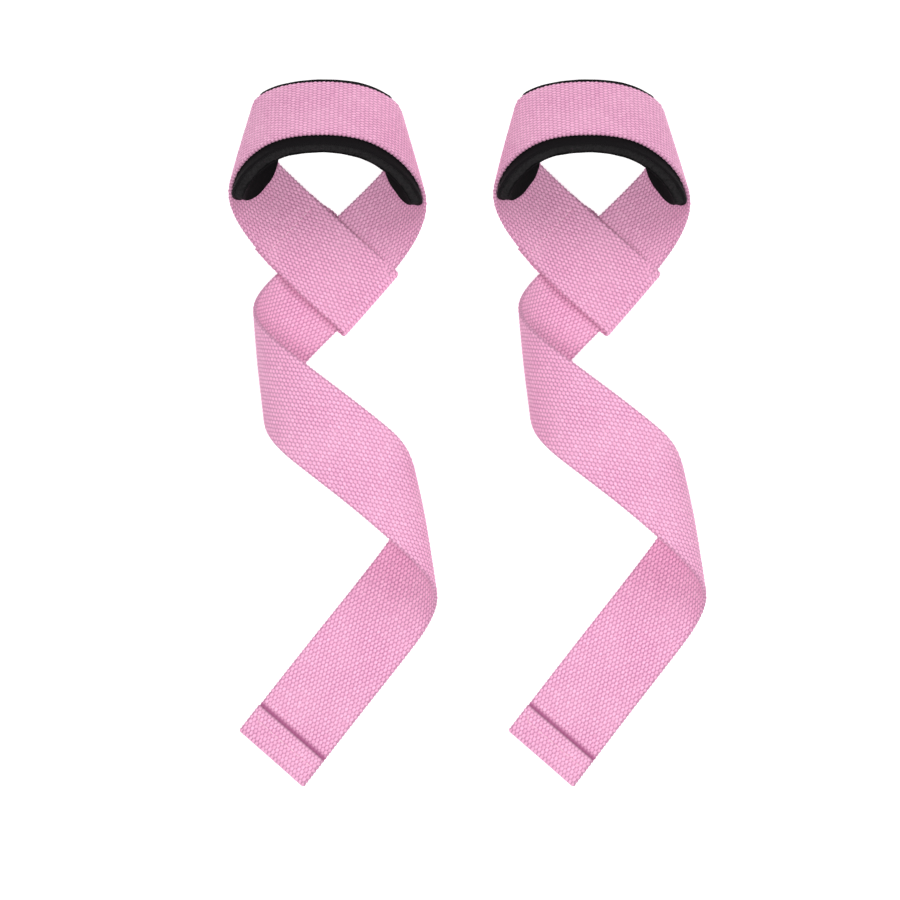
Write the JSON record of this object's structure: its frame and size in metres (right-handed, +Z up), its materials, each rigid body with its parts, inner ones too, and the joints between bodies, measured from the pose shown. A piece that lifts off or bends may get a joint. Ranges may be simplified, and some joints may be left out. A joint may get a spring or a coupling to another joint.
{
  "type": "pair of wrist lifting straps",
  "caption": "Pair of webbing lifting straps: padded wrist loop closed through a sewn sleeve, with a long free tail that coils once and ends in a turned hem.",
  "frame": {"origin": "bottom centre of the pair's bounding box, on the table", "axes": "+X from the left strap to the right strap, +Y from the tails' hems to the wrist loops, +Z up from the table"},
  "size_m": [0.2124, 0.3166, 0.0613],
  "materials": {
    "webbing": "coarse woven cotton, matte",
    "thread": "spun sewing thread",
    "jersey": "fine black knit, matte",
    "foam": "cut closed-cell foam, matte",
    "film": "thin heat-bonded film"
  },
  "bodies": {
    "left_cuff": {"left_webbing_loop": "webbing", "left_pad_bond_film": "film", "left_pad_outer_jersey": "jersey", "left_pad_foam_core": "foam", "left_pad_inner_jersey": "jersey", "left_sleeve_needle_thread": "thread", "left_sleeve_bobbin_thread": "thread"},
    "left_tail": {"left_webbing_tail": "webbing", "left_hem_needle_thread": "thread", "left_hem_bobbin_thread": "thread"},
    "right_cuff": {"right_webbing_loop": "webbing", "right_pad_bond_film": "film", "right_pad_outer_jersey": "jersey", "right_pad_foam_core": "foam", "right_pad_inner_jersey": "jersey", "right_sleeve_needle_thread": "thread", "right_sleeve_bobbin_thread": "thread"},
    "right_tail": {"right_webbing_tail": "webbing", "right_hem_needle_thread": "thread", "right_hem_bobbin_thread": "thread"}
  },
  "joints": [
    {"name": "left_tail_pull", "type": "slide", "parent": "left_cuff", "child": "left_tail", "axis": [-0.6994, -0.7147, 0], "range_m": [0, 0.012]},
    {"name": "right_tail_pull", "type": "slide", "parent": "right_cuff", "child": "right_tail", "axis": [-0.6994, -0.7147, 0], "range_m": [0, 0.012]},
    {"name": "right_strap_apart", "type": "slide", "parent": "left_cuff", "child": "right_cuff", "axis": [1, 0, 0], "range_m": [0, 0.06]}
  ]
}
